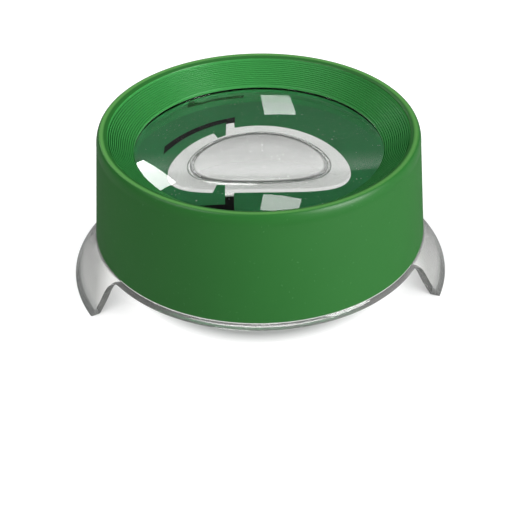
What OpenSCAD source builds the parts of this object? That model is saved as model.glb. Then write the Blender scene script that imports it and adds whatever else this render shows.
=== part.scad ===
// Low round stand magnifier. An opaque housing with a grooved funnel holds a wide clear lens,
// a ring under the lens keeps it in, and a clear base with two arches stands on the table and
// lets light in. The base twists onto the housing and clicks behind two spring fingers.
// The origin is on the table under the middle of the lens, and +Z points up.

/* [Housing] */
// Outer diameter of the housing at its bottom edge
housing_d = 70; // [66:0.5:78]
// Height of the lip above the table
total_h = 33.4; // [32:0.2:41]
// How far the outer wall leans in between its bottom edge and the lip
wall_lean = 1.9; // [0.5:0.1:2.5]
// Thickness of the outer wall at its bottom edge
housing_wall = 1.6; // [1.4:0.1:2.2]
// Width of the round shoulder outside the crest of the lip
shoulder_w = 0.8; // [0.6:0.1:1.4]
// Height of the round shoulder
shoulder_h = 2.4; // [1.2:0.1:3]
// Width of the round inner side of the lip
lip_in_w = 1.55; // [1:0.05:1.8]
// Height of the round inner side of the lip
lip_in_h = 0.6; // [0.3:0.05:0.9]

/* [Funnel] */
// Diameter of the clear opening over the lens
aperture_d = 51.3; // [46:0.1:52]
// Height of the plain step between the lip and the grooves
lip_step = 0.3; // [0.2:0.05:0.6]
// Height of the upright edge round the clear opening
land_h = 0.65; // [0.4:0.05:1]
// Thickness of the funnel's sloping wall
funnel_wall = 1.6; // [1.2:0.1:2]
// Number of fine grooves that run round the funnel
groove_count = 13; // [4:1:16]
// Depth of a groove
groove_depth = 0.14; // [0.05:0.01:0.2]
// Width of a groove at the surface
groove_w = 0.3; // [0.15:0.01:0.36]

/* [Lens] */
// Depth of the lens seat below the top of the lip
seat_depth = 5.1; // [4.8:0.1:6.5]
// How far the lens reaches under the edge of the opening
lens_overlap = 1.35; // [0.8:0.05:1.6]
// Thickness of the lens at its rim
lens_edge = 2.9; // [2:0.1:4]
// Width of the flat flange round the curved faces of the lens
lens_flange = 2; // [1.7:0.1:3]
// Radius of the upper face of the lens, whose lower face is flat
lens_radius = 104; // [80:1:300]

/* [Lens ring] */
// Wall of the ring that keeps the lens in
ring_wall = 1; // [0.8:0.05:1.3]
// Height of the part of the ring that reaches into the lens pocket
nose_h = 1.6; // [1.2:0.1:2.4]
// Height of the ring's straight lower part
ring_straight_h = 7; // [6:0.25:8]
// How far the ring's lower edge stays above the housing's lower edge
ring_lift = 0.4; // [0:0.05:0.5]
// Wall of the pocket round the lens
pocket_wall = 1.3; // [1:0.1:1.8]
// Width of the keys that stop the ring from turning, as an angle
key_angle = 10; // [6:1:20]
// Height of the keys
key_h = 0.9; // [0.5:0.1:1.2]

/* [Click fingers] */
// Number of spring fingers on the ring
finger_count = 2; // [1:1:3]
// Direction of the free end of the first finger
finger_at = 97; // [60:1:130]
// Length of a finger, as an angle
finger_angle = 23; // [14:1:30]
// Height of a finger
finger_h = 0.75; // [0.6:0.05:1.2]
// Height of the slot above a finger
finger_slot = 0.5; // [0.4:0.05:0.8]
// Gap beside the free end of a finger, as an angle
finger_notch = 3; // [2:0.5:5]
// Width of the click tooth where it leaves the finger
tooth_w = 2.3; // [1.5:0.1:3]
// Height of the click tooth
tooth_h = 0.65; // [0.6:0.05:0.9]
// Run of the sloping side of the tooth
tooth_ramp = 0.8; // [0.3:0.1:1.2]

/* [Clear base] */
// Height of the base's rim above the table, which is the height of the arches
stand_h = 8.45; // [6:0.05:12]
// Thickness of the rim between the housing and the arches
rim_t = 1.25; // [1.1:0.05:2]
// Outer diameter of the feet on the table
base_d = 80.6; // [76:0.2:90]
// Wall of the flared skirt
skirt_wall = 1.5; // [1.2:0.1:2.2]
// Radius of the skirt's outward curve, seen in section
flare_radius = 27; // [16:0.5:60]
// Width of each arch, as an angle
arch_angle = 129.4; // [90:0.2:145]
// Rounding of the upper corners of an arch
arch_corner_r = 4; // [2:0.25:5.5]
// Wall of the collar that goes up into the housing
collar_wall = 1; // [0.8:0.05:1.3]
// Height of the collar above the rim
collar_h = 5; // [4.2:0.1:6]

/* [Twist lock] */
// Number of lugs inside the housing
lug_count = 4; // [2:1:5]
// Width of a lug, as an angle
lug_angle = 12; // [6:1:16]
// How far a lug stands out of the housing's bore
lug_reach = 0.8; // [0.5:0.05:1]
// Height of a lug
lug_h = 1.4; // [1:0.1:2]
// Height of the lugs above the rim of the base
lug_rise = 1.5; // [1:0.1:2]
// How far the base turns between locked and free
twist_angle = 24; // [12:1:30]

/* [Clearances] */
// Gap between round faces that turn or push into each other
turn_gap = 0.08; // [0.04:0.01:0.1]
// Gap between flat faces that slide over each other
face_gap = 0.12; // [0.06:0.01:0.2]
// Gap round the lugs, keys and teeth in their channels
lug_gap = 0.15; // [0.08:0.01:0.25]

/* [Hidden] */
$fn = 128;

arc_steps = 10;
over = 1;
housing_green = [0.17, 0.45, 0.21];
ring_green = [0.2, 0.5, 0.25];
clear_tint = [0.85, 0.92, 0.94, 0.35];

// Heights, from the table up
rim_top = stand_h + rim_t;
housing_z = rim_top + face_gap;
collar_top = rim_top + collar_h;
lug_z = rim_top + lug_rise;
shoulder_z = total_h - shoulder_h;
seat_z = total_h - seat_depth;
lens_bottom_z = seat_z - lens_edge;
pocket_z = lens_bottom_z - nose_h;
nose_z = pocket_z - face_gap;
ring_low_z = housing_z + ring_lift;
funnel_low_z = seat_z + land_h;
funnel_top_z = total_h - lip_in_h - lip_step;

// Radii, from the outside in
housing_r = housing_d / 2;
lip_outer_r = housing_r - wall_lean;
crest_r = lip_outer_r - shoulder_w;
funnel_top_r = crest_r - lip_in_w;
aperture_r = aperture_d / 2;
lens_r = aperture_r + lens_overlap;
optic_r = lens_r - lens_flange;
lens_rise = lens_radius - sqrt(lens_radius * lens_radius - optic_r * optic_r);
pocket_r = lens_r + turn_gap;
pocket_outer_r = pocket_r + pocket_wall;
bore_r = housing_r - housing_wall;
collar_r = bore_r - turn_gap;
collar_inner_r = collar_r - collar_wall;
ring_r = collar_inner_r - turn_gap;
ring_inner_r = ring_r - ring_wall;
rim_inner_r = ring_inner_r + turn_gap;
base_r = base_d / 2;

// The flare's centre lies outside the skirt, on a circle through the rim's top and the foot
chord = [base_r - housing_r, -rim_top];
chord_half = norm(chord) / 2;
flare_reach = sqrt(flare_radius * flare_radius - chord_half * chord_half);
flare_c = [(housing_r + base_r) / 2 + rim_top / norm(chord) * flare_reach,
           rim_top / 2 + chord[0] / norm(chord) * flare_reach];
foot_angle = 180 - arch_angle;

// The outer wall's radius at a height, and the angle that a gap spans at a radius
function wall_r(z) = housing_r - wall_lean * (z - housing_z) / (shoulder_z - housing_z);
function gap_angle(gap, r) = gap / r * 180 / PI;
function arc(c, rx, ry, from, to) =
    [for (i = [0:arc_steps]) let (a = from + (to - from) * i / arc_steps)
        [c[0] + rx * cos(a), c[1] + ry * sin(a)]];

// The funnel's slope, as a unit vector down the slope and one square to it, into the wall
funnel_run = [aperture_r - funnel_top_r, funnel_low_z - funnel_top_z];
funnel_len = norm(funnel_run);
funnel_dir = funnel_run / funnel_len;
funnel_in = [-funnel_dir[1], funnel_dir[0]];
groove_pitch = funnel_len / groove_count;
function on_funnel(along, deep) =
    [funnel_top_r, funnel_top_z] + funnel_dir * along + funnel_in * deep;
function grooves() =
    [for (i = [0:groove_count - 1]) let (mid = (i + 0.5) * groove_pitch)
        each [on_funnel(mid - groove_w / 2, 0), on_funnel(mid, groove_depth),
              on_funnel(mid + groove_w / 2, 0)]];
// The height of the funnel wall's hidden side at a radius
function funnel_under(r) =
    funnel_low_z + (r - aperture_r) * funnel_run[1] / funnel_run[0]
    - funnel_wall / abs(funnel_dir[0]);
roof_z = funnel_under(funnel_top_r);

// A ring sector between two radii, two heights and two angles
module sector(r0, r1, z0, z1, a0, a1) {
    rotate([0, 0, a0]) rotate_extrude(angle = a1 - a0)
        translate([r0, z0]) square([r1 - r0, z1 - z0]);
}

// A shape drawn as [along the rim, height], pushed outwards from r0 to r1 at an angle
module outward(r0, r1, a) {
    rotate([0, 0, a]) translate([r0, 0, 0]) rotate([90, 0, 90])
        linear_extrude(r1 - r0) children();
}

module housing_section() {
    polygon(concat(
        [[bore_r, housing_z], [housing_r, housing_z]],
        arc([lip_outer_r - shoulder_w, shoulder_z], shoulder_w, shoulder_h, 0, 90),
        arc([crest_r, total_h - lip_in_h], lip_in_w, lip_in_h, 100, 180),
        [[funnel_top_r, funnel_top_z]],
        grooves(),
        [[aperture_r, funnel_low_z], [aperture_r, seat_z], [pocket_r, seat_z],
         [pocket_r, pocket_z], [pocket_outer_r, pocket_z],
         [pocket_outer_r, funnel_under(pocket_outer_r)],
         [funnel_top_r, roof_z], [wall_r(roof_z) - housing_wall, roof_z],
         [wall_r(collar_top + face_gap) - housing_wall, collar_top + face_gap],
         [bore_r, collar_top + face_gap]]));
}

module housing() {
    color(housing_green) {
        difference() {
            rotate_extrude() housing_section();
            for (side = [0, 180])
                sector(pocket_r - over, pocket_outer_r + over, pocket_z - over,
                       pocket_z + key_h - face_gap + lug_gap,
                       side - key_angle / 2 - gap_angle(lug_gap, pocket_r),
                       side + key_angle / 2 + gap_angle(lug_gap, pocket_r));
        }
        for (i = [0:lug_count - 1])
            rotate([0, 0, 360 * i / lug_count])
                sector(bore_r - lug_reach, bore_r + housing_wall / 4, lug_z, lug_z + lug_h,
                       -lug_angle / 2, lug_angle / 2);
    }
}

module lens() {
    color(clear_tint) rotate_extrude() {
        translate([0, lens_bottom_z]) square([lens_r, lens_edge]);
        intersection() {
            translate([0, seat_z + lens_rise - lens_radius]) circle(lens_radius, $fn = 720);
            translate([0, seat_z - lens_edge / 2]) square([optic_r + lens_flange / 4, 3 * lens_edge]);
        }
    }
}

module lens_ring_section() {
    bend_z = housing_z + ring_straight_h;
    nose_r = lens_r - ring_wall - turn_gap;
    polygon([
        [ring_inner_r, ring_low_z - tooth_h], [ring_r, ring_low_z - tooth_h], [ring_r, bend_z],
        [pocket_outer_r, nose_z - ring_wall], [pocket_outer_r, nose_z], [lens_r, nose_z],
        [lens_r, lens_bottom_z], [nose_r, lens_bottom_z], [nose_r, nose_z],
        [ring_inner_r, bend_z - ring_wall / 2]]);
}

// A click tooth: upright at the free end of its finger, sloping on the other side
module click_tooth() {
    outward(ring_inner_r - 2 * over, ring_r + 2 * over, 0)
        polygon([[0, ring_low_z + over], [0, ring_low_z - tooth_h - over],
                 [tooth_w - tooth_ramp, ring_low_z - tooth_h - over],
                 [tooth_w - tooth_ramp, ring_low_z - tooth_h], [tooth_w, ring_low_z],
                 [tooth_w, ring_low_z + over]]);
}

module lens_ring() {
    slot_low = ring_low_z + finger_h;
    slot_top = slot_low + finger_slot;
    color(ring_green) {
        difference() {
            rotate_extrude() lens_ring_section();
            difference() {
                sector(ring_inner_r - over, ring_r + over, ring_low_z - 2 * tooth_h, ring_low_z, 0, 360);
                for (i = [0:finger_count - 1])
                    rotate([0, 0, finger_at + 360 * i / finger_count]) click_tooth();
            }
            for (i = [0:finger_count - 1])
                rotate([0, 0, finger_at + 360 * i / finger_count]) {
                    sector(ring_inner_r - over, ring_r + over, slot_low, slot_top,
                           -finger_notch, finger_angle);
                    sector(ring_inner_r - over, ring_r + over, ring_low_z - over, slot_top,
                           -finger_notch, 0);
                }
        }
        for (side = [0, 180])
            sector(lens_r - ring_wall / 2, pocket_outer_r - face_gap, nose_z - ring_wall / 2,
                   nose_z + key_h, side - key_angle / 2, side + key_angle / 2);
    }
}

// The flared wall in section, between two circles about the flare's centre
module skirt_section(low, high) {
    intersection() {
        difference() {
            translate(flare_c) circle(flare_radius + skirt_wall, $fn = 360);
            translate(flare_c) circle(flare_radius, $fn = 360);
        }
        translate([rim_inner_r, low]) square([base_r, high - low]);
    }
}

module rim_section() {
    difference() {
        translate([rim_inner_r, stand_h]) square([base_r - rim_inner_r, rim_t]);
        translate(flare_c) circle(flare_radius, $fn = 360);
    }
    translate([collar_inner_r, rim_top - rim_t / 2])
        square([collar_wall, collar_h + rim_t / 2]);
}

// The round upper corner between a foot's side and the rim above the arch
module arch_corner() {
    outward(rim_inner_r - 3 * over, base_r + 3 * over, foot_angle / 2) difference() {
        translate([-over / 2, stand_h - arch_corner_r])
            square([arch_corner_r + over / 2, arch_corner_r + rim_t / 2]);
        translate([arch_corner_r, stand_h - arch_corner_r]) circle(arch_corner_r);
    }
}

// One foot's share of the skirt, with its corners
module foot_block() {
    sector(rim_inner_r, base_r + over, -over, stand_h + rim_t / 2, -foot_angle / 2, foot_angle / 2);
    arch_corner();
    mirror([0, 1, 0]) arch_corner();
}

// The channel in the collar that lets one lug in from above and along to its locked place
module lug_channel() {
    spare = gap_angle(lug_gap, collar_r);
    low = -lug_angle / 2 - twist_angle - spare;
    sector(collar_inner_r - over, collar_r + over, lug_z - lug_gap, lug_z + lug_h + lug_gap,
           low, lug_angle / 2 + spare);
    sector(collar_inner_r - over, collar_r + over, lug_z - lug_gap, collar_top + over,
           low, lug_angle / 2 - twist_angle + spare);
}

module clear_base() {
    spare = gap_angle(lug_gap, ring_inner_r);
    tooth_angle = gap_angle(tooth_w, ring_inner_r);
    color(clear_tint) difference() {
        union() {
            rotate_extrude() rim_section();
            intersection() {
                rotate_extrude() skirt_section(0, stand_h + rim_t / 2);
                for (side = [0, 180]) rotate([0, 0, side]) foot_block();
            }
        }
        for (i = [0:lug_count - 1]) rotate([0, 0, 360 * i / lug_count]) lug_channel();
        for (i = [0:finger_count - 1])
            rotate([0, 0, finger_at + 360 * i / finger_count])
                sector(rim_inner_r - over, ring_r + turn_gap / 2, ring_low_z - tooth_h - lug_gap,
                       rim_top + over, -twist_angle - spare, tooth_angle + spare);
    }
}

housing();
lens();
lens_ring();
clear_base();
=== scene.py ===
import math

import bpy
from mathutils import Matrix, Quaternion, Vector


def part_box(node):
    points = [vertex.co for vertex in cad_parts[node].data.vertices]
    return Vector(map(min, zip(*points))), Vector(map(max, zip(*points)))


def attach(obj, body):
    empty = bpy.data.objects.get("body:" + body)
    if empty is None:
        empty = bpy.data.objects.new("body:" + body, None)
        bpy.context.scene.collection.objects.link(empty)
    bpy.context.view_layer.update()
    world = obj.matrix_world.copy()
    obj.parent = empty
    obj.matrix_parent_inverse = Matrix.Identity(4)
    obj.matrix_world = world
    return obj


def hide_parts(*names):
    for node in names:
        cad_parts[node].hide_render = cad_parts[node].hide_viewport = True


# A low round stand magnifier, dressed on its frame: a satin green housing with a grooved funnel,
# a wide clear lens, the ring that keeps the lens in, and a clear base that stands on two feet.
# Lengths are in metres, angles in degrees.

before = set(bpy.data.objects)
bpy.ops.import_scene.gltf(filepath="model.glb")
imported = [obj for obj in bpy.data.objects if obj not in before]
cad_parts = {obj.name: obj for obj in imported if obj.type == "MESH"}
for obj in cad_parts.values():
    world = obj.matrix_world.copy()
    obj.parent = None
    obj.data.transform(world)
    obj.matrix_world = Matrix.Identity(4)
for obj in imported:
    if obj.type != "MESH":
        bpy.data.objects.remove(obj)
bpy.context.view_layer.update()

MM = 0.001

# Places that the frame gives
housing_low, housing_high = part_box("housing")
lens_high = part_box("lens")[1]
base_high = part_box("clear_base")[1]

# How finely pieces are meshed, and how far two solids overlap where one is cut or joined
TURN_STEPS = 256
SMOOTH_ANGLE = 32
SECTOR_STEP = 3
ROUNDING_STEPS = 5
ARC_STEP = 5
LENS_RINGS = 40
FLARE_STEPS = 16
ARCH_CORNER_STEPS = 8
ARCH_CROWN_STEPS = 24
MERGE_GAP = 1e-3 * MM
CUT_SPARE = 1 * MM
SKIN = 0.02 * MM
SKIN_ANGLE = 2e-5

# Housing
WALL_R = housing_high.x
HOUSING_Z = housing_low.z
TOP_Z = housing_high.z
WALL_LEAN = 1.9 * MM
WALL_T = 1.6 * MM
SHOULDER_W = 0.8 * MM
SHOULDER_H = 2.4 * MM
LIP_IN_W = 1.55 * MM
LIP_IN_H = 0.6 * MM
LIP_STEP = 0.3 * MM
APERTURE_R = 25.65 * MM
LAND_H = 0.65 * MM
SEAT_Z = TOP_Z - 5.1 * MM
FUNNEL_WALL = 1.6 * MM
SHOULDER_Z = TOP_Z - SHOULDER_H
CREST_R = WALL_R - WALL_LEAN - SHOULDER_W
FUNNEL_TOP = Vector((CREST_R - LIP_IN_W, TOP_Z - LIP_IN_H - LIP_STEP))
FUNNEL_LOW = Vector((APERTURE_R, SEAT_Z + LAND_H))

# Funnel grooves, each profile point as shares of the groove's width and depth
GROOVE_COUNT = 13
GROOVE_DEPTH = 0.28 * MM
GROOVE_SHARE = 0.62
GROOVE_PROFILE = ((-0.5, 0), (-0.36, 0.45), (-0.18, 0.9), (0, 1), (0.18, 0.9), (0.36, 0.45), (0.5, 0))

# Lens
LENS_R = lens_high.x
LENS_EDGE_T = 2.9 * MM
LENS_RADIUS = 104 * MM
LENS_CHAMFER = 0.2 * MM
FLANGE_W = 2 * MM
DOME_R = APERTURE_R - SKIN
LENS_BOTTOM_Z = SEAT_Z - LENS_EDGE_T

# Clearances between the pieces, where they turn, face and slide
TURN_GAP = 0.08 * MM
FACE_GAP = 0.12 * MM
SLIDE_GAP = 0.15 * MM

# The base's collar inside the housing's bore
BORE_R = WALL_R - WALL_T
COLLAR_WALL = 1 * MM
COLLAR_R = BORE_R - TURN_GAP
COLLAR_INNER_R = COLLAR_R - COLLAR_WALL
COLLAR_TOP = base_high.z

# Lens ring, with its click fingers and the housing's pocket that it fits into
RING_WALL = 1 * MM
NOSE_H = 1.6 * MM
RING_STRAIGHT_H = 7 * MM
RING_LOW_Z = HOUSING_Z + 0.4 * MM
POCKET_WALL = 1.3 * MM
KEY_SIDES = (0, 180)
KEY_ANGLE = 10
KEY_H = 0.9 * MM
FINGER_COUNT = 2
FINGER_AT = 97
FINGER_ANGLE = 23
FINGER_H = 0.75 * MM
FINGER_SLOT = 0.5 * MM
FINGER_NOTCH = 3
TOOTH_W = 2.3 * MM
TOOTH_H = 0.36 * MM
TOOTH_RAMP = 0.8 * MM
SLOT_SHADE_BACKING = 0.15 * MM
RING_R = COLLAR_INNER_R - TURN_GAP
RING_INNER_R = RING_R - RING_WALL
POCKET_R = LENS_R + TURN_GAP
POCKET_OUTER_R = POCKET_R + POCKET_WALL
POCKET_Z = LENS_BOTTOM_Z - NOSE_H
NOSE_Z = POCKET_Z - FACE_GAP

# The window, a second slot high up at the back of the ring: angle, low edge and high edge in mm
WINDOW_STATIONS = (
    (91.3, 15.9, 18.6), (94.5, 15.9, 18.8), (98, 16, 19), (102, 16.2, 19.3), (106, 16.2, 18.9),
    (108.6, 16.2, 18.5), (110.2, 16.4, 19.4), (113.7, 17.1, 21.5), (117.6, 20.5, 24), (118, 20.9, 24.9),
    (121.2, 23.6, 25.2))

# Clear base
STAND_H = 8.45 * MM
RIM_T = 1.25 * MM
RIM_TOP = STAND_H + RIM_T
RIM_INNER_R = RING_INNER_R + TURN_GAP
BASE_R = base_high.x
SKIRT_WALL = 1.5 * MM
FLARE_RADIUS = 27 * MM
ARCH_SIDES = (90, 270)
ARCH_ANGLE = 129.4
ARCH_CORNER_R = 4 * MM
ARCH_CLEARANCE = 0.03 * MM

# Twist lock
LUG_COUNT = 4
LUG_ANGLE = 12
LUG_REACH = 0.8 * MM
LUG_SINK = WALL_T / 4
LUG_H = 1.4 * MM
LUG_Z = RIM_TOP + 1.5 * MM
TWIST_ANGLE = 24

# Roundings of edges and bends
SEAT_EDGE = 0.08 * MM
SMALL_EDGE = 0.1 * MM
BASE_EDGE = 0.12 * MM
BORE_EDGE = 0.15 * MM
LAND_EDGE = 0.18 * MM
WALL_EDGE = 0.22 * MM
LIP_EDGE = 0.05 * MM
NOSE_BEND = 0.3 * MM
RING_BEND = 0.5 * MM

# Which faces count as turned towards the axis, downwards, or along the wall
INWARD_FROM = -0.3
DOWNWARD_FROM = -0.5
SIDEWAYS_WITHIN = 0.3
POCKET_FACES_FROM = HOUSING_Z + 2 * MM
GAP_SKIN = 0.05 * MM

# Colours
WHITE = (1, 1, 1, 1)
PAINT_DEEP = (0.0150, 0.121, 0.0175, 1)
PAINT_PALE = (0.0180, 0.137, 0.0205, 1)
CREST_PAINTED_HIGHLIGHT = (0.12, 0.37, 0.085, 1)
PAINT_SPECK = (0.10, 0.28, 0.11, 1)
RIDGE_GREEN_PAINTED_SHEEN = (0.044, 0.278, 0.062, 1)
GROOVE_GREEN_PAINTED_SHADE = (0.003, 0.100, 0.018, 1)
FUNNEL_SHINE = (0.6, 1.0, 0.7, 1)
RING_DEEP = (0.042, 0.330, 0.110, 1)
RING_PALE = (0.050, 0.365, 0.125, 1)
# Near black painted shade for walls that lie in shade
GAP_PAINTED_SHADE = (0.003, 0.008, 0.004, 1)
LENS_TINT = (0.985, 0.995, 0.99, 1)
BASE_TINT = (0.94, 0.94, 0.925, 1)
BASE_EDGE_PAINTED_SHADE = (0.62, 0.65, 0.63, 1)

# Finishes: how rough each is, where one fades into another, and how strongly it shows
ACRYLIC_IOR = 1.49
PAINT_ROUGHNESS = 0.5
FUNNEL_ROUGHNESS = 0.26
RING_ROUGHNESS = 0.34
GAP_ROUGHNESS = 0.9
BASE_ROUGHNESS = 0.01
GRAIN_DEPTH = 0.02 * MM
GRAIN_ROUGHNESS = 0.1
FUNNEL_GRAIN_ROUGHNESS = 0.08
WAVE_DEPTH = 0.1 * MM
WAVE_ROUGHNESS = 0.02
LIP_FADE = (SHOULDER_Z - 0.5 * MM, SHOULDER_Z + 0.5 * MM)
LIP_GLOSS = 0.17
# Painted highlight along the inside of the lip's crest: where it lies, its half width and how strongly it
# shows
CREST_HIGHLIGHT_R = CREST_R - 0.35 * MM
CREST_HIGHLIGHT_HALF_W = 0.55 * MM
CREST_HIGHLIGHT_SHARE = 0.8
SPECK_FADE = (0.735, 0.775)
SPECK_SHARE = 0.3
GROOVE_SHADE_FADE = (0.3, 0.7)
SMEAR_FADE = (0.5, 0.8)
SMEAR_ROUGHNESS = 0.008
DUST_FADE = (0.845, 0.86)
DUST_ROUGHNESS = 0.4
BASE_EDGE_SHADE_FADE = (0.3 * MM, 1.4 * MM)

# Floor and world, with their levels for each kind of ray
FLOOR_SIZE = 6
FLOOR_GREY = 0.3
FLOOR_LIFT = 1.0
BOUNCE_LIFT = 0.33
GLASS_LIFT = 0.56
# Painted shadow on the floor: ambient occlusion near the object, and a disc of painted shade under the
# body
CONTACT_SAMPLES = 16
CONTACT_REACH = 9 * MM
CONTACT_RADII = (26 * MM, 30 * MM)
CONTACT_SHADE = 0.25
WORLD_LIGHT = 0.22
GLOSS_LOSS = 0.14
WORLD_SHOWN = 1.0
CEILING_SHOWN = 0.1
BACKDROP_EDGE = (18, 28)

# Lamps: name, azimuth, elevation, distance, width, height, and level at the object
LAMPS = (
    ("key_right", -38, 22, 0.8, 0.4, 0.55, 1.35),
    ("fill_left", -150, 45, 0.8, 0.5, 0.5, 0.5),
    ("back_middle", 88.3, 49, 0.6, 0.027, 0.09, 0.02),
    ("back_high", 76.5, 61, 0.6, 0.085, 0.06, 0.036),
    ("back_left", 113.8, 39.3, 0.6, 0.05, 0.153, 0.09))
UNMIRRORED_LAMP = "back_middle"

# The photograph's camera, fitted to the outlines of the housing and the feet
FRAME_PX = 525
ORIGIN_PX = (260.242, 257.692)
CAMERA_FOCAL_PX = 1200.9
CAMERA_AZIMUTH = -94.2
CAMERA_ELEVATION = 36.11
CAMERA_DISTANCE = 264.2 * MM
CAMERA_ROLL = -0.727
CAMERA_CLIP = 10 * MM
SENSOR_W = 36


def degrees_of(width, radius):
    """The angle that a width spans on a circle."""
    return math.degrees(width / radius)


def sag(radius, reach):
    """How far a spherical face of that radius falls over a reach from its middle."""
    return radius - math.sqrt(radius * radius - reach * reach)


def arc(centre, radii, start, end):
    """Points along an arc of a section, a small step apart, between two angles."""
    steps = round((end - start) / ARC_STEP)
    angles = [math.radians(start + (end - start) * i / steps) for i in range(steps + 1)]
    return [(centre[0] + radii[0] * math.cos(a), centre[1] + radii[1] * math.sin(a)) for a in angles]


def rounded(corners):
    """A closed section from corners (radius, height, rounding), each rounding drawn as a short arc."""
    outline = []
    for i, corner in enumerate(corners):
        here = Vector(corner[:2])
        rounding = corner[2] if len(corner) == 3 else 0
        if not rounding:
            outline.append(tuple(here))
            continue
        back = (Vector(corners[i - 1][:2]) - here).normalized()
        on = (Vector(corners[(i + 1) % len(corners)][:2]) - here).normalized()
        half = back.angle(on) / 2
        inwards = (back + on).normalized()
        middle = here + inwards * rounding / math.sin(half)
        start, end = (here + side * rounding / math.tan(half) - middle for side in (back, on))
        sweep = start.angle(end)
        for step in range(ROUNDING_STEPS + 1):
            along = sweep * step / ROUNDING_STEPS
            spoke = start * math.sin(sweep - along) + end * math.sin(along)
            outline.append(tuple(middle + spoke / math.sin(sweep)))
    return outline


def leave_edit():
    """Back to object mode with nothing selected."""
    if bpy.context.object and bpy.context.object.mode == "EDIT":
        bpy.ops.object.mode_set(mode="OBJECT")
    bpy.ops.object.select_all(action="DESELECT")


def start_outline(name, outline):
    """A new object in edit mode whose outline is extruded corner by corner from one vertex."""
    leave_edit()
    first = outline[0]
    bpy.ops.mesh.primitive_plane_add(size=MM, location=(first[0], 0, first[1]))
    piece = bpy.context.object
    piece.name = name
    bpy.ops.object.mode_set(mode="EDIT")
    bpy.ops.mesh.merge(type="CENTER")
    for here, there in zip(outline, outline[1:]):
        move = (there[0] - here[0], 0, there[1] - here[1])
        bpy.ops.mesh.extrude_vertices_move(TRANSFORM_OT_translate={"value": move})
    return piece


def finish_mesh(piece):
    """Merges doubles, points the faces outwards, puts the object at the origin and shades it."""
    bpy.ops.mesh.select_all(action="SELECT")
    bpy.ops.mesh.remove_doubles(threshold=MERGE_GAP)
    bpy.ops.mesh.normals_make_consistent(inside=False)
    bpy.ops.object.mode_set(mode="OBJECT")
    bpy.ops.object.transform_apply(location=True, rotation=True, scale=True)
    bpy.ops.object.shade_smooth_by_angle(angle=math.radians(SMOOTH_ANGLE))
    return piece


def turned(name, outline, closed=True):
    """A piece turned on the upright axis from its section."""
    piece = start_outline(name, outline + outline[:1] if closed else outline)
    bpy.ops.mesh.select_all(action="SELECT")
    bpy.ops.mesh.spin(steps=TURN_STEPS, angle=2 * math.pi, center=(0, 0, 0), axis=(0, 0, -1))
    return finish_mesh(piece)


def walled_sector(name, inner, outer, stations):
    """A solid between two radii that follows stations of (angle, lowest, highest)."""
    angle, low, high = stations[0]
    piece = start_outline(name, [(inner, low), (outer, low), (outer, high), (inner, high)])
    bpy.ops.mesh.select_all(action="SELECT")
    bpy.ops.mesh.edge_face_add()
    bpy.ops.mesh.select_all(action="SELECT")
    for next_angle, next_low, next_high in stations[1:]:
        turn = math.radians(next_angle - angle)
        stretch = (next_high - next_low) / (high - low)
        bpy.ops.mesh.spin(steps=1, angle=turn, center=(0, 0, 0), axis=(0, 0, -1))
        bpy.ops.transform.resize(value=(1, 1, stretch), center_override=(0, 0, 0))
        bpy.ops.transform.translate(value=(0, 0, next_low - low * stretch))
        angle, low, high = next_angle, next_low, next_high
    finish_mesh(piece)
    piece.rotation_euler.z = math.radians(stations[0][0])
    bpy.ops.object.transform_apply(location=False, rotation=True, scale=False)
    return piece


def sector(name, inner, outer, low, high, start, end):
    """A plain ring sector between two angles."""
    count = max(1, round((end - start) / SECTOR_STEP))
    angles = [start + (end - start) * i / count for i in range(count + 1)]
    return walled_sector(name, inner, outer, [(angle, low, high) for angle in angles])


def combine(piece, other, operation):
    """Adds another solid to a piece or cuts it out, and removes the other."""
    joint = piece.modifiers.new(operation.lower(), "BOOLEAN")
    joint.operation = operation
    joint.solver = "EXACT"
    joint.object = other
    leave_edit()
    bpy.context.view_layer.objects.active = piece
    piece.select_set(True)
    bpy.ops.object.modifier_apply(modifier=joint.name)
    bpy.ops.object.shade_smooth_by_angle(angle=math.radians(SMOOTH_ANGLE))
    bpy.data.objects.remove(other)


def groove_points():
    """The funnel's slope from its top to its low edge, with a round groove in each pitch."""
    slope = FUNNEL_LOW - FUNNEL_TOP
    down = slope.normalized()
    inwards = Vector((-down.y, down.x))
    pitch = slope.length / GROOVE_COUNT
    points = []
    for i in range(GROOVE_COUNT):
        for across, deep in GROOVE_PROFILE:
            along = (i + 0.5 + across * GROOVE_SHARE) * pitch
            points.append(tuple(FUNNEL_TOP + down * along + inwards * deep * GROOVE_DEPTH))
    return points


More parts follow.
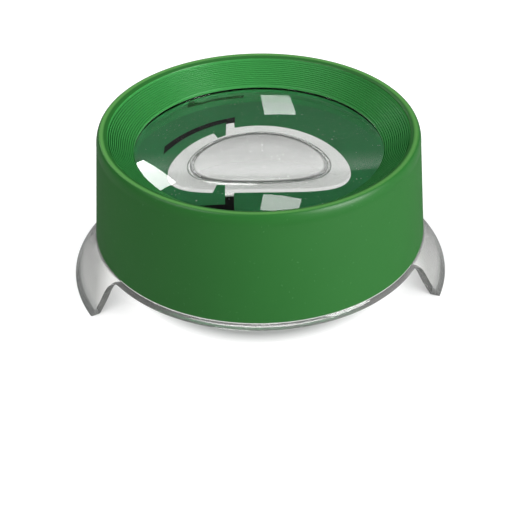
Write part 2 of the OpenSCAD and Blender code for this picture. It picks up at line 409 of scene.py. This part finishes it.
def make_housing():
    """The green housing: leaning wall, round lip, grooved funnel, lens pocket and lugs."""
    slope = FUNNEL_LOW - FUNNEL_TOP
    under = FUNNEL_WALL * slope.length / abs(slope.x)

    def beneath(radius):
        return FUNNEL_LOW.y + (radius - APERTURE_R) * slope.y / slope.x - under

    def wall_r(height):
        return WALL_R - WALL_LEAN * (height - HOUSING_Z) / (SHOULDER_Z - HOUSING_Z)

    roof_z = beneath(FUNNEL_TOP.x)
    ledge_z = COLLAR_TOP + FACE_GAP
    outside = [(BORE_R, HOUSING_Z, BORE_EDGE), (WALL_R, HOUSING_Z, WALL_EDGE)]
    shoulder = arc((CREST_R, SHOULDER_Z), (SHOULDER_W, SHOULDER_H), 0, 90)
    lip = arc((CREST_R, TOP_Z - LIP_IN_H), (LIP_IN_W, LIP_IN_H), 90 + ARC_STEP, 180)
    top_corner = [(FUNNEL_TOP.x, FUNNEL_TOP.y, LIP_EDGE)]
    inside = [
        (APERTURE_R, FUNNEL_LOW.y, LAND_EDGE), (APERTURE_R, SEAT_Z, SEAT_EDGE), (POCKET_R, SEAT_Z),
        (POCKET_R, POCKET_Z, SMALL_EDGE), (POCKET_OUTER_R, POCKET_Z, SMALL_EDGE),
        (POCKET_OUTER_R, beneath(POCKET_OUTER_R)), (FUNNEL_TOP.x, roof_z),
        (wall_r(roof_z) - WALL_T, roof_z), (wall_r(ledge_z) - WALL_T, ledge_z),
        (BORE_R, ledge_z, SMALL_EDGE)]
    outline = rounded(outside + shoulder + lip + top_corner + groove_points() + inside)
    housing = turned("housing_shell", outline)
    for i in range(LUG_COUNT):
        middle = 360 * i / LUG_COUNT
        lug = sector("lug", BORE_R - LUG_REACH, BORE_R + LUG_SINK, LUG_Z, LUG_Z + LUG_H,
                     middle - LUG_ANGLE / 2, middle + LUG_ANGLE / 2)
        combine(housing, lug, "UNION")
    key_half = KEY_ANGLE / 2 + degrees_of(SLIDE_GAP, POCKET_R)
    for side in KEY_SIDES:
        notch = sector("notch", POCKET_R - CUT_SPARE, POCKET_OUTER_R + CUT_SPARE, POCKET_Z - CUT_SPARE,
                       POCKET_Z + KEY_H - FACE_GAP + SLIDE_GAP, side - key_half, side + key_half)
        combine(housing, notch, "DIFFERENCE")
    return housing


def make_lens():
    """The clear lens: a polished dome over a flat face, inside a flange with small chamfers."""
    flat_r = LENS_R - LENS_CHAMFER
    peak = SEAT_Z + sag(LENS_RADIUS, LENS_R - FLANGE_W)
    reaches = [DOME_R * i / LENS_RINGS for i in range(LENS_RINGS + 1)]
    face = [(r, peak - sag(LENS_RADIUS, r)) for r in reaches]
    rim = [(APERTURE_R, SEAT_Z), (flat_r, SEAT_Z), (LENS_R, SEAT_Z - LENS_CHAMFER),
           (LENS_R, LENS_BOTTOM_Z + LENS_CHAMFER), (flat_r, LENS_BOTTOM_Z), (0, LENS_BOTTOM_Z)]
    return turned("lens_disc", face + rim, closed=False)


def make_ring():
    """The ring under the lens, with its keys, its two slotted spring fingers and its window."""
    bend_z = HOUSING_Z + RING_STRAIGHT_H
    nose_r = LENS_R - RING_WALL - TURN_GAP
    ring = turned("keeper_ring", rounded([
        (RING_INNER_R, RING_LOW_Z, SMALL_EDGE), (RING_R, RING_LOW_Z, SMALL_EDGE),
        (RING_R, bend_z, RING_BEND), (POCKET_OUTER_R, NOSE_Z - RING_WALL),
        (POCKET_OUTER_R, NOSE_Z, SMALL_EDGE), (LENS_R, NOSE_Z), (LENS_R, LENS_BOTTOM_Z, SMALL_EDGE),
        (nose_r, LENS_BOTTOM_Z, SMALL_EDGE), (nose_r, NOSE_Z, NOSE_BEND),
        (RING_INNER_R, bend_z - RING_WALL / 2, RING_BEND)]))
    slot_low = RING_LOW_Z + FINGER_H
    slot_top = slot_low + FINGER_SLOT
    tooth_low = RING_LOW_Z - TOOTH_H
    tooth_top = RING_LOW_Z + FINGER_H / 2
    flat = degrees_of(TOOTH_W - TOOTH_RAMP, RING_INNER_R)
    full = degrees_of(TOOTH_W, RING_INNER_R)
    # The slots and notches stop short of the ring's outside, leaving a thin skin whose inner face takes
    # the painted shade: a dark backing for the shade behind each finger
    inner, outer = RING_INNER_R - CUT_SPARE, RING_R - SLOT_SHADE_BACKING
    for i in range(FINGER_COUNT):
        at = FINGER_AT + 360 * i / FINGER_COUNT
        tooth = walled_sector("tooth", RING_INNER_R + SKIN, RING_R - SKIN, [
            (at + SKIN_ANGLE, tooth_low, tooth_top), (at + flat, tooth_low, tooth_top),
            (at + full, RING_LOW_Z + SKIN, tooth_top)])
        combine(ring, tooth, "UNION")
        slot = sector("slot", inner, outer, slot_low, slot_top, at - FINGER_NOTCH, at + FINGER_ANGLE)
        combine(ring, slot, "DIFFERENCE")
        notch = sector("notch", inner, outer, RING_LOW_Z - CUT_SPARE, slot_top - SKIN,
                       at - FINGER_NOTCH + SKIN_ANGLE, at)
        combine(ring, notch, "DIFFERENCE")
    stations = [(angle, low * MM, high * MM) for angle, low, high in WINDOW_STATIONS]
    window = walled_sector("window", nose_r - CUT_SPARE, RING_R + CUT_SPARE, stations)
    combine(ring, window, "DIFFERENCE")
    for side in KEY_SIDES:
        key = sector("key", LENS_R - RING_WALL / 2, POCKET_OUTER_R - FACE_GAP,
                     NOSE_Z - RING_WALL / 2, NOSE_Z + KEY_H, side - KEY_ANGLE / 2, side + KEY_ANGLE / 2)
        combine(ring, key, "UNION")
    return ring


def flare_centre():
    """The centre of the skirt's outward curve, outside the skirt."""
    top, foot = Vector((WALL_R, RIM_TOP)), Vector((BASE_R, 0))
    chord = foot - top
    reach = math.sqrt(FLARE_RADIUS ** 2 - (chord.length / 2) ** 2)
    return (top + foot) / 2 + Vector((-chord.y, chord.x)).normalized() * reach


def flare(radius, low, high):
    """The skirt's curve at a radius about the flare's centre, between two heights."""
    centre = flare_centre()
    heights = [low + (high - low) * i / FLARE_STEPS for i in range(FLARE_STEPS + 1)]
    return [(centre.x - math.sqrt(radius ** 2 - (z - centre.y) ** 2), z) for z in heights]


def arch_stations(middle):
    """Stations of one arch's cutter, round in its upper corners."""
    half = ARCH_ANGLE / 2
    corner = []
    for step in range(ARCH_CORNER_STEPS + 1):
        turn = math.radians(90 * step / ARCH_CORNER_STEPS)
        out = half - degrees_of(ARCH_CORNER_R * (1 - math.cos(turn)), WALL_R)
        corner.append((out, STAND_H - ARCH_CORNER_R * (1 - math.sin(turn))))
    flat = corner[-1][0]
    crown = [(flat * (1 - 2 * i / ARCH_CROWN_STEPS), STAND_H) for i in range(1, ARCH_CROWN_STEPS)]
    right = [(-a, z) for a, z in corner + crown]
    left = [(a, z) for a, z in reversed(corner)]
    return [(middle + a, -CUT_SPARE, z) for a, z in right + left]


def make_base():
    """The clear base: collar with lug channels, rim, and a flared skirt cut by two arches."""
    inner_low = STAND_H - ARCH_CLEARANCE
    inner_curve = flare(FLARE_RADIUS + SKIRT_WALL, 0, inner_low)
    outer_curve = flare(FLARE_RADIUS, 0, RIM_TOP - BASE_EDGE)
    base = turned("clear_stand", rounded([
        (RIM_INNER_R, inner_low), *reversed(inner_curve), *outer_curve,
        (outer_curve[-1][0] - BASE_EDGE, RIM_TOP), (COLLAR_R, RIM_TOP),
        (COLLAR_R, COLLAR_TOP, BASE_EDGE), (COLLAR_INNER_R, COLLAR_TOP, BASE_EDGE),
        (COLLAR_INNER_R, RIM_TOP), (RIM_INNER_R, RIM_TOP, BASE_EDGE)]))
    inner, outer = RIM_INNER_R - CUT_SPARE, BASE_R + 2 * CUT_SPARE
    for middle in ARCH_SIDES:
        combine(base, walled_sector("arch", inner, outer, arch_stations(middle)), "DIFFERENCE")
    spare = degrees_of(SLIDE_GAP, COLLAR_R)
    roof_step = spare / 10
    floor, ceiling, mouth = LUG_Z - SLIDE_GAP, LUG_Z + LUG_H + SLIDE_GAP, COLLAR_TOP + CUT_SPARE
    for i in range(LUG_COUNT):
        at = 360 * i / LUG_COUNT
        low = at - LUG_ANGLE / 2 - TWIST_ANGLE - spare
        turn_in = at + LUG_ANGLE / 2 - TWIST_ANGLE + spare
        end = at + LUG_ANGLE / 2 + spare
        channel = walled_sector("channel", COLLAR_INNER_R - CUT_SPARE / 2, COLLAR_R + CUT_SPARE, [
            (low, floor, mouth), (turn_in, floor, mouth),
            (turn_in + roof_step, floor, ceiling), (end, floor, ceiling)])
        combine(base, channel, "DIFFERENCE")
    return base


class Signal:
    """A shader value that takes part in arithmetic: each operator adds one Math node."""

    def __init__(self, nodes, socket):
        self.nodes = nodes
        self.socket = socket

    def _math(self, operation, first, second):
        return self.nodes.node("ShaderNodeMath", {"operation": operation}, {0: first, 1: second})

    def __add__(self, other):
        return self._math("ADD", self, other)

    def __sub__(self, other):
        return self._math("SUBTRACT", self, other)

    def __rsub__(self, other):
        return self._math("SUBTRACT", other, self)

    def __mul__(self, other):
        return self._math("MULTIPLY", self, other)

    def __truediv__(self, other):
        return self._math("DIVIDE", self, other)

    def __rtruediv__(self, other):
        return self._math("DIVIDE", other, self)

    __radd__ = __add__
    __rmul__ = __mul__


class Nodes:
    """Adds nodes to the node tree of a material or a world."""

    def __init__(self, tree):
        self.tree = tree

    def node(self, kind, settings=None, inputs=None, output=0):
        """Adds a node with its settings first, then the values or links of its sockets."""
        made = self.tree.nodes.new(kind)
        for setting, value in (settings or {}).items():
            if setting == "stops":
                self._stops(made.color_ramp, value)
            else:
                setattr(made, setting, value)
        for socket, value in (inputs or {}).items():
            if isinstance(value, Signal):
                self.tree.links.new(value.socket, made.inputs[socket])
            else:
                made.inputs[socket].default_value = value
        return Signal(self, made.outputs[output])

    @staticmethod
    def _stops(ramp, stops):
        """Gives a ramp its two stops, each a position and a grey level."""
        for element, (position, level) in zip(ramp.elements, stops):
            element.position = position
            element.color = (level, level, level, 1)

    def ray_is(self, kind):
        """1 for rays of one kind, such as Camera or Transmission, and 0 for the others."""
        return self.node("ShaderNodeLightPath", output=f"Is {kind} Ray")

    def mirrored(self):
        """1 for rays that were reflected, and 0 for those that passed through something clear."""
        return self.ray_is("Glossy") * (1 - self.ray_is("Transmission"))

    def mapped(self, value, from_range, to_range):
        """A value carried from one range to another, and held at the ends."""
        inputs = {"Value": value, "From Min": from_range[0], "From Max": from_range[1],
                  "To Min": to_range[0], "To Max": to_range[1]}
        return self.node("ShaderNodeMapRange", inputs=inputs)


class Finish(Nodes):
    """One material: its Principled shader's constants, and the nodes that vary it over a surface."""

    def __init__(self, name, **constants):
        self.material = bpy.data.materials.new(name)
        self.material.use_nodes = True
        super().__init__(self.material.node_tree)
        self.shader = self.tree.nodes["Principled BSDF"]
        for socket, value in constants.items():
            self.shader.inputs[socket.replace("_", " ")].default_value = value
        self.place = self.node("ShaderNodeTexCoord", output="Object")

    def noise(self, scale, detail):
        """A cloudy pattern from 0 to 1, with so many clouds in a metre."""
        inputs = {"Vector": self.place, "Scale": scale, "Detail": detail}
        return self.node("ShaderNodeTexNoise", inputs=inputs)

    def ramp(self, value, fade, top=1.0):
        """0 below the fade, and the top level above it."""
        return self.node("ShaderNodeValToRGB", {"stops": ((fade[0], 0.0), (fade[1], top))}, {0: value})

    def blend(self, share, first, second):
        """Two colours mixed by a share from 0 to 1, on the colour sockets of a Mix node."""
        return self.node("ShaderNodeMix", {"data_type": "RGBA"}, {0: share, 6: first, 7: second}, output=2)

    def part(self, axis):
        """One coordinate of a point on the piece."""
        return self.node("ShaderNodeSeparateXYZ", inputs={0: self.place}, output=axis)

    def reach(self):
        """A point's distance from the upright axis."""
        flat = self.node("ShaderNodeVectorMath", {"operation": "MULTIPLY"}, {0: self.place, 1: (1, 1, 0)})
        return self.node("ShaderNodeVectorMath", {"operation": "LENGTH"}, {0: flat}, output="Value")

    def ripple(self, turns):
        """Rises from 0 at each whole number of turns to 1 half-way between two of them."""
        return self.node("ShaderNodeMath", {"operation": "PINGPONG"}, {0: turns, 1: 0.5}) * 2

    def bump(self, height, strength, distance):
        """A normal that follows fine ups and downs."""
        inputs = {"Height": height, "Strength": strength, "Distance": distance}
        return self.node("ShaderNodeBump", inputs=inputs)

    def feed(self, **links):
        """Links signals to the shader's sockets."""
        for socket, value in links.items():
            self.tree.links.new(value.socket, self.shader.inputs[socket.replace("_", " ")])


def satin_green():
    """The housing's outside: satin paint with a fine grain and specks, a glossier lip, and a painted
    highlight along the lip's crest.
    """
    finish = Finish("satin_green", Specular_IOR_Level=0.33)
    cloud = finish.noise(scale=60, detail=3)
    grain = finish.noise(scale=5200, detail=2)
    speck = finish.ramp(finish.noise(scale=1500, detail=1), SPECK_FADE)
    body = finish.blend(cloud, PAINT_DEEP, PAINT_PALE)
    lip = finish.mapped(finish.part("Z"), LIP_FADE, (0, 1))
    # Painted highlight: the base colour lightens along a line just inside the lip's crest
    off_crest = finish.reach() - CREST_HIGHLIGHT_R
    crest_highlight = finish.mapped(off_crest * off_crest, (0, CREST_HIGHLIGHT_HALF_W ** 2), (CREST_HIGHLIGHT_SHARE, 0)) * lip
    body = finish.blend(crest_highlight, body, CREST_PAINTED_HIGHLIGHT)
    finish.feed(
        Base_Color=finish.blend(speck * SPECK_SHARE, body, PAINT_SPECK),
        Roughness=PAINT_ROUGHNESS + grain * GRAIN_ROUGHNESS - lip * LIP_GLOSS,
        Normal=finish.bump(grain, strength=0.12, distance=GRAIN_DEPTH))
    return finish.material


def funnel_green():
    """The grooved funnel: bare moulded plastic, glossier, with a painted sheen on its ridges and painted
    shade in its grooves.
    """
    finish = Finish("funnel_green", Specular_IOR_Level=0.5, Specular_Tint=FUNNEL_SHINE)
    grain = finish.noise(scale=2600, detail=2)
    # Painted shade and sheen: the base colour darkens in each groove and lightens on each ridge, in step
    # with the grooves' pitch
    pitch = (FUNNEL_TOP.x - FUNNEL_LOW.x) / GROOVE_COUNT
    groove_shade = finish.mapped(finish.ripple((finish.reach() - FUNNEL_LOW.x) / pitch), GROOVE_SHADE_FADE, (0, 1))
    finish.feed(
        Base_Color=finish.blend(groove_shade, RIDGE_GREEN_PAINTED_SHEEN, GROOVE_GREEN_PAINTED_SHADE),
        Roughness=FUNNEL_ROUGHNESS + grain * FUNNEL_GRAIN_ROUGHNESS,
        Normal=finish.bump(grain, strength=0.06, distance=GRAIN_DEPTH))
    return finish.material


def ring_green():
    """The keeper ring: the same plastic unpainted, with a light moulded grain."""
    finish = Finish("ring_green", Specular_IOR_Level=0.4)
    grain = finish.noise(scale=1800, detail=2)
    cloud = finish.noise(scale=120, detail=2)
    finish.feed(
        Base_Color=finish.blend(cloud, RING_DEEP, RING_PALE),
        Roughness=RING_ROUGHNESS + grain * GRAIN_ROUGHNESS,
        Normal=finish.bump(grain, strength=0.05, distance=GRAIN_DEPTH))
    return finish.material


def gap_painted_shade():
    """Painted shade: near black on the walls of the ring's slots and of the lens pocket, where little
    light reaches.
    """
    return Finish("gap_painted_shade", Base_Color=GAP_PAINTED_SHADE, Roughness=GAP_ROUGHNESS).material


def lens_clear():
    """The polished lens, with faint wipe marks and a little dust."""
    finish = Finish("lens_clear", Base_Color=LENS_TINT, IOR=ACRYLIC_IOR, Transmission_Weight=1.0)
    smear = finish.ramp(finish.noise(scale=45, detail=3), SMEAR_FADE, SMEAR_ROUGHNESS)
    dust = finish.ramp(finish.noise(scale=2600, detail=0), DUST_FADE)
    finish.feed(Roughness=smear + dust * DUST_ROUGHNESS)
    return finish.material


def base_clear():
    """The moulded clear base: slightly wavy, and greyer along the edge that it stands on, as painted
    shade.
    """
    finish = Finish("base_clear", IOR=ACRYLIC_IOR, Transmission_Weight=0.9)
    wave = finish.noise(scale=160, detail=1)
    # Painted shade: the base colour greys towards the edge that the base stands on
    edge = finish.mapped(finish.part("Z"), BASE_EDGE_SHADE_FADE, (1, 0))
    finish.feed(
        Base_Color=finish.blend(edge, BASE_TINT, BASE_EDGE_PAINTED_SHADE),
        Roughness=BASE_ROUGHNESS + wave * WAVE_ROUGHNESS,
        Normal=finish.bump(wave, strength=0.12, distance=WAVE_DEPTH))
    return finish.material


def dress(piece, body, node, slot, *materials):
    """Gives a piece its materials and its body, and hides the solid that it stands for. The slot argument
    is not used.
    """
    piece.data.materials.clear()
    for material in materials:
        piece.data.materials.append(material)
    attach(piece, body)
    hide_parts(node)


def reach_and_facing(face):
    """A face's distance from the upright axis, and how squarely it faces away from the axis."""
    reach = math.hypot(face.center.x, face.center.y)
    return reach, (face.normal.x * face.center.x + face.normal.y * face.center.y) / reach


def faces_of_housing(housing):
    """The funnel takes the second material, and the pocket under the seat takes the third, the black
    painted shade.
    """
    for face in housing.data.polygons:
        reach, facing = reach_and_facing(face)
        hidden = POCKET_FACES_FROM < face.center.z < SEAT_Z + SKIN
        pocket = hidden and (facing < INWARD_FROM or face.normal.z < DOWNWARD_FROM)
        face.material_index = 2 if pocket else int(reach < FUNNEL_TOP.x + SKIN)


def faces_of_gaps(ring):
    """The walls of the slots and of the window lie in shade, so they take the second material, the painted
    shade.
    """
    slot_low = RING_LOW_Z + 3 * GAP_SKIN
    slot_top = RING_LOW_Z + FINGER_H + FINGER_SLOT + GAP_SKIN
    for face in ring.data.polygons:
        reach, facing = reach_and_facing(face)
        within_wall = RING_INNER_R + GAP_SKIN < reach < RING_R - GAP_SKIN
        slot = within_wall and slot_low < face.center.z < slot_top
        window = face.center.z > HOUSING_Z + RING_STRAIGHT_H / 2 and abs(facing) < SIDEWAYS_WITHIN
        face.material_index = int(slot or window)


def make_floor():
    """A wide plain floor that shows white to the camera and keeps the object's shadow, partly rendered and
    partly painted.

    The renderer sends no light through the clear parts on to the floor, so the floor's own glow
    stands in for it where it is seen through them. Light that bounces off it gets a lift as well,
    so that it lights the object as a pale floor would.
    """
    leave_edit()
    bpy.ops.mesh.primitive_plane_add(size=FLOOR_SIZE, location=(0, 0, 0))
    floor = bpy.context.object
    floor.name = "floor"
    finish = Finish("pale_floor", Base_Color=(FLOOR_GREY, FLOOR_GREY, FLOOR_GREY, 1), Roughness=1.0,
                    Specular_IOR_Level=0.0, Emission_Strength=1.0)
    camera = finish.ray_is("Camera")
    # Painted shadow: ambient occlusion darkens the floor's glow for the camera near the object, and a
    # painted disc of shade under the body darkens it further
    ao_painted_shadow = finish.node("ShaderNodeAmbientOcclusion", {"samples": CONTACT_SAMPLES},
                           {"Distance": CONTACT_REACH}, "AO")
    across = finish.part("X")
    under_lens = finish.mapped(across * across, (RING_R ** 2, WALL_R ** 2), (GLASS_LIFT, 0))
    painted_shadow_under_body = finish.mapped(finish.reach(), CONTACT_RADII, (CONTACT_SHADE, 1))
    bounced = 1 - camera - finish.mirrored()
    lift = camera * ao_painted_shadow * painted_shadow_under_body * FLOOR_LIFT + bounced * BOUNCE_LIFT
    finish.feed(Emission_Color=lift + finish.ray_is("Transmission") * under_lens)
    floor.data.materials.append(finish.material)


def make_world():
    """Soft even light, with a white backdrop under a dark ceiling for the camera and clear parts.

    What the surfaces mirror is dimmer than the light, which keeps the lens clear.
    """
    world = bpy.data.worlds.new("studio")
    bpy.context.scene.world = world
    world.use_nodes = True
    nodes = Nodes(world.node_tree)
    place = nodes.node("ShaderNodeTexCoord", output="Generated")
    height = nodes.node("ShaderNodeSeparateXYZ", inputs={0: place}, output="Z")
    edge = [math.sin(math.radians(angle)) for angle in BACKDROP_EDGE]
    shown = nodes.mapped(height, edge, (WORLD_SHOWN, CEILING_SHOWN))
    seen = nodes.ray_is("Camera") + nodes.ray_is("Transmission")
    level = nodes.mapped(seen, (0, 1), (WORLD_LIGHT, shown)) - nodes.mirrored() * GLOSS_LOSS
    shade = world.node_tree.nodes["Background"]
    shade.inputs["Color"].default_value = WHITE
    world.node_tree.links.new(level.socket, shade.inputs["Strength"])


def towards(azimuth, elevation):
    """The direction from the object to a place around it."""
    turn, lift = math.radians(azimuth), math.radians(elevation)
    return Vector((math.cos(turn) * math.cos(lift), math.sin(turn) * math.cos(lift), math.sin(lift)))


def softbox(name, azimuth, elevation, distance, width, height, level):
    """A rectangular lamp that faces the object and lights a white card there to the level."""
    lamp = bpy.data.lights.new(name, "AREA")
    lamp.shape = "RECTANGLE"
    lamp.size = width
    lamp.size_y = height
    lamp.energy = level * (math.pi * distance) ** 2
    holder = bpy.data.objects.new(name, lamp)
    bpy.context.scene.collection.objects.link(holder)
    back = towards(azimuth, elevation)
    holder.location = back * distance
    holder.rotation_mode = "QUATERNION"
    holder.rotation_quaternion = (-back).to_track_quat("-Z", "Y")
    holder.visible_camera = False
    holder.visible_glossy = name != UNMIRRORED_LAMP


def make_camera():
    """The camera at the photograph's angle: aim at the origin, then a small roll and shift."""
    camera = bpy.data.cameras.new("camera")
    camera.sensor_width = SENSOR_W
    camera.lens = CAMERA_FOCAL_PX / FRAME_PX * SENSOR_W
    camera.shift_x = (FRAME_PX / 2 - ORIGIN_PX[0]) / FRAME_PX
    camera.shift_y = (ORIGIN_PX[1] - FRAME_PX / 2) / FRAME_PX
    camera.clip_start = CAMERA_CLIP
    holder = bpy.data.objects.new("camera", camera)
    bpy.context.scene.collection.objects.link(holder)
    back = towards(CAMERA_AZIMUTH, CAMERA_ELEVATION)
    holder.location = back * CAMERA_DISTANCE
    holder.rotation_mode = "QUATERNION"
    aim = (-back).to_track_quat("-Z", "Y")
    holder.rotation_quaternion = aim @ Quaternion((0, 0, 1), math.radians(CAMERA_ROLL))
    bpy.context.scene.camera = holder


housing = make_housing()
painted_shade = gap_painted_shade()
dress(housing, "head", "housing", "housing_plastic", satin_green(), funnel_green(), painted_shade)
faces_of_housing(housing)
dress(make_lens(), "head", "lens", "lens_acrylic", lens_clear())
ring = make_ring()
dress(ring, "head", "lens_ring", "ring_plastic", ring_green(), painted_shade)
faces_of_gaps(ring)
dress(make_base(), "base", "clear_base", "base_acrylic", base_clear())

make_floor()
make_world()
for lamp in LAMPS:
    softbox(*lamp)
make_camera()
bpy.context.scene.view_settings.view_transform = "Standard"
